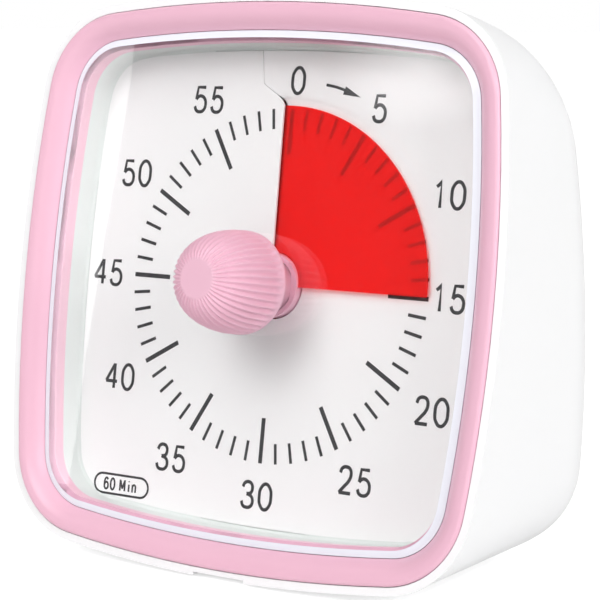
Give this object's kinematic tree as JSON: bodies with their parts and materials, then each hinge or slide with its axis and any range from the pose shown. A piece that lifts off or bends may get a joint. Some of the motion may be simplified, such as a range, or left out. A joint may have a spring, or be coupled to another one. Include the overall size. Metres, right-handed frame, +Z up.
{
  "type": "visual countdown timer",
  "caption": "Square table-top visual countdown timer with a pink bezel, a turning fluted knob and a red film sector that shows the time left on a sixty minute dial.",
  "frame": {"origin": "middle of the overall box at table level, under the four feet", "axes": "+Z up, -Y towards the viewer of the dial, which leans back by 8.9 degrees, +X to the right of that viewer"},
  "size_m": [0.085, 0.0509, 0.0845],
  "materials": {
    "shell_white": "satin moulded ABS",
    "pink_plastic": "satin moulded ABS",
    "clear_acrylic": "clear moulded acrylic, polished",
    "tray_white": "matt moulded ABS",
    "printed_card": "white coated card with dark grey print",
    "red_film": "translucent red PVC film",
    "natural_acetal": "moulded acetal",
    "black_plastic": "moulded ABS",
    "steel": "plain steel",
    "spring_steel": "nickel-plated spring steel",
    "copper_wire": "enamelled copper wire",
    "board_green": "solder-masked FR4",
    "cell_wrap": "plain printed sleeve",
    "pale_rubber": "matt silicone"
  },
  "bodies": {
    "case": {"rear_shell": "shell_white", "front_bezel": "pink_plastic", "lens": "clear_acrylic", "dial_tray": "tray_white", "dial_card": "printed_card", "movement_base": "natural_acetal", "movement_cover": "natural_acetal", "contact_leaf": "spring_steel", "stator": "steel", "coil_core": "steel", "coil_bobbin": "natural_acetal", "coil_winding": "copper_wire", "circuit_board": "board_green", "board_screws": "steel", "driver_chip": "black_plastic", "quartz_crystal": "spring_steel", "volume_switch": "black_plastic", "speaker": "black_plastic", "battery_cell": "cell_wrap", "battery_plate": "spring_steel", "battery_spring": "spring_steel", "case_screws": "steel", "rubber_feet": "pale_rubber"},
    "knob": {"time_knob": "pink_plastic", "spindle": "steel", "clutch_spring": "spring_steel", "alarm_cam": "black_plastic"},
    "film": {"film_disc": "red_film", "film_hub": "pink_plastic"},
    "drive_gear": {"drive_wheel": "natural_acetal"},
    "third_gear": {"third_wheel": "natural_acetal"},
    "second_gear": {"second_wheel": "natural_acetal"},
    "first_gear": {"first_wheel": "natural_acetal"},
    "motor_rotor": {"rotor": "black_plastic"},
    "door": {"battery_door": "shell_white"},
    "slider": {"volume_slider": "black_plastic"}
  },
  "joints": [
    {"name": "knob_turn", "type": "hinge", "parent": "case", "child": "knob", "pos_m": [0, -0.00522, 0.04167], "axis": [0, 0.988, -0.1547], "range_deg": [-90, 270]},
    {"name": "film_rise", "type": "slide", "parent": "knob", "child": "film", "axis": [0, -0.988, 0.1547], "range_m": [-0.00101, 0.00302]},
    {"name": "drive_spin", "type": "hinge", "parent": "case", "child": "drive_gear", "pos_m": [0, 0.00466, 0.04012], "axis": [0, 0.988, -0.1547], "continuous": true},
    {"name": "third_spin", "type": "hinge", "parent": "case", "child": "third_gear", "pos_m": [0, 0.00652, 0.05198], "axis": [0, 0.988, -0.1547], "continuous": true},
    {"name": "second_spin", "type": "hinge", "parent": "case", "child": "second_gear", "pos_m": [0.0084, 0.00652, 0.05198], "axis": [0, 0.988, -0.1547], "continuous": true},
    {"name": "first_spin", "type": "hinge", "parent": "case", "child": "first_gear", "pos_m": [0.01491, 0.00568, 0.04658], "axis": [0, 0.988, -0.1547], "continuous": true},
    {"name": "rotor_spin", "type": "hinge", "parent": "case", "child": "motor_rotor", "pos_m": [0.01374, 0.00465, 0.04001], "axis": [0, 0.988, -0.1547], "continuous": true},
    {"name": "battery_door_hinge", "type": "hinge", "parent": "case", "child": "door", "pos_m": [0, 0.02403, 0.01167], "axis": [-1, 0, 0], "range_deg": [0, 90]},
    {"name": "volume_slide", "type": "slide", "parent": "case", "child": "slider", "axis": [1, 0, 0], "range_m": [-0.002, 0.002]}
  ],
  "couplings": [
    {"joint": "film_rise", "follows": "knob_turn", "m_per_rad": 0.00063662},
    {"joint": "first_spin", "follows": "rotor_spin", "ratio": -0.125},
    {"joint": "second_spin", "follows": "rotor_spin", "ratio": 0.016667},
    {"joint": "third_spin", "follows": "rotor_spin", "ratio": -0.0027778},
    {"joint": "drive_spin", "follows": "rotor_spin", "ratio": 0.00055556}
  ]
}
